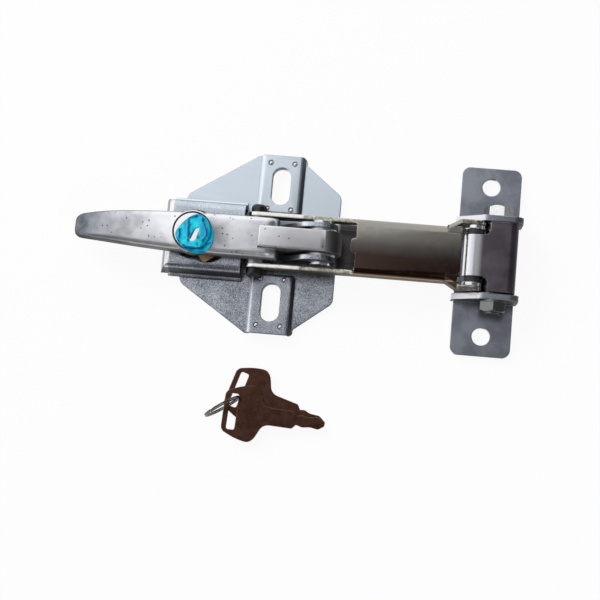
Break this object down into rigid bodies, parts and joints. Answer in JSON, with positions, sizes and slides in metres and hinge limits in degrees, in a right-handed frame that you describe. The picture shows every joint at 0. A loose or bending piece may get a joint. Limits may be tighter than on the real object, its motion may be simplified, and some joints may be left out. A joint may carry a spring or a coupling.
{
  "type": "engine cover draw latch",
  "caption": "Over-centre draw latch for an engine cover: key-locked lever handle on a slotted base plate, channel pull arm with a hinged hook, roller keeper and a pair of keys on a ring.",
  "frame": {"origin": "on the mounting plane, midway between the base plate's two slotted holes", "axes": "+X along the pull, from the grip's tip to the keeper; +Y across; +Z out of the panel"},
  "size_m": [0.2245, 0.1495, 0.0258],
  "materials": {
    "zinc_sheet": "satin zinc plate",
    "backing_steel": "dull zinc plate",
    "pin_steel": "bright plated steel",
    "washer_steel": "dark steel",
    "handle_zinc": "satin chrome on die-cast zinc",
    "lock_chrome": "bright chrome",
    "lock_brass": "yellow plated",
    "film_blue": "thin crinkled film",
    "arm_pin_dark": "dark steel",
    "arm_plated": "bright plated sheet",
    "spacer_black": "black nylon",
    "hook_zinc": "satin zinc plate",
    "keeper_zinc": "satin zinc plate",
    "bolt_steel": "bright zinc plate",
    "key_metal": "dark nickel plate",
    "ring_steel": "bright steel wire"
  },
  "bodies": {
    "base": {"base_plate": "zinc_sheet", "pad_backing_upper": "backing_steel", "pad_backing_lower": "backing_steel", "lock_housing": "zinc_sheet", "pivot_bracket": "zinc_sheet", "pivot_pin": "pin_steel", "pivot_clip": "pin_steel", "pivot_washers": "washer_steel"},
    "handle": {"handle": "handle_zinc", "lock_barrel": "lock_chrome", "lock_nut": "lock_brass", "lock_film": "film_blue", "arm_pin": "arm_pin_dark", "arm_pin_cap": "arm_pin_dark", "arm_washers": "washer_steel"},
    "plug": {"lock_plug": "lock_chrome", "lock_cam": "lock_brass", "cam_screw": "pin_steel"},
    "arm": {"pull_arm": "arm_plated", "hook_pin": "pin_steel", "hook_spacers": "spacer_black"},
    "hook": {"hook_plate": "hook_zinc"},
    "keeper": {"keeper_bracket": "keeper_zinc", "striker_bolt": "bolt_steel", "striker_washer": "bolt_steel", "striker_nut": "bolt_steel"},
    "roller": {"striker_roller": "bolt_steel"},
    "keys": {"key_front": "key_metal", "key_back": "key_metal", "key_ring": "ring_steel"}
  },
  "joints": [
    {"name": "handle_lift", "type": "hinge", "parent": "base", "child": "handle", "pos_m": [0.0235, 0, 0.0154], "axis": [0, 1, 0], "range_deg": [0, 105]},
    {"name": "arm_swing", "type": "hinge", "parent": "handle", "child": "arm", "pos_m": [-0.0095, 0, 0.0094], "axis": [0, 1, 0], "range_deg": [-105, 0]},
    {"name": "hook_swing", "type": "hinge", "parent": "arm", "child": "hook", "pos_m": [0.0994, 0, 0.01445], "axis": [0, -1, 0], "range_deg": [0, 85]},
    {"name": "plug_turn", "type": "hinge", "parent": "handle", "child": "plug", "pos_m": [-0.0405, 0, 0.02], "axis": [0, 0, 1], "range_deg": [0, 145]},
    {"name": "keeper_release", "type": "slide", "parent": "base", "child": "keeper", "axis": [0, 0, -1], "range_m": [0, 0.03]},
    {"name": "roller_spin", "type": "hinge", "parent": "keeper", "child": "roller", "pos_m": [0.11052, 0, 0.0102], "axis": [0, 1, 0], "continuous": true},
    {"name": "keys_lift", "type": "slide", "parent": "base", "child": "keys", "axis": [0, 0, 1], "range_m": [0, 0.06]}
  ],
  "couplings": [
    {"joint": "arm_swing", "follows": "handle_lift", "ratio": -1}
  ]
}
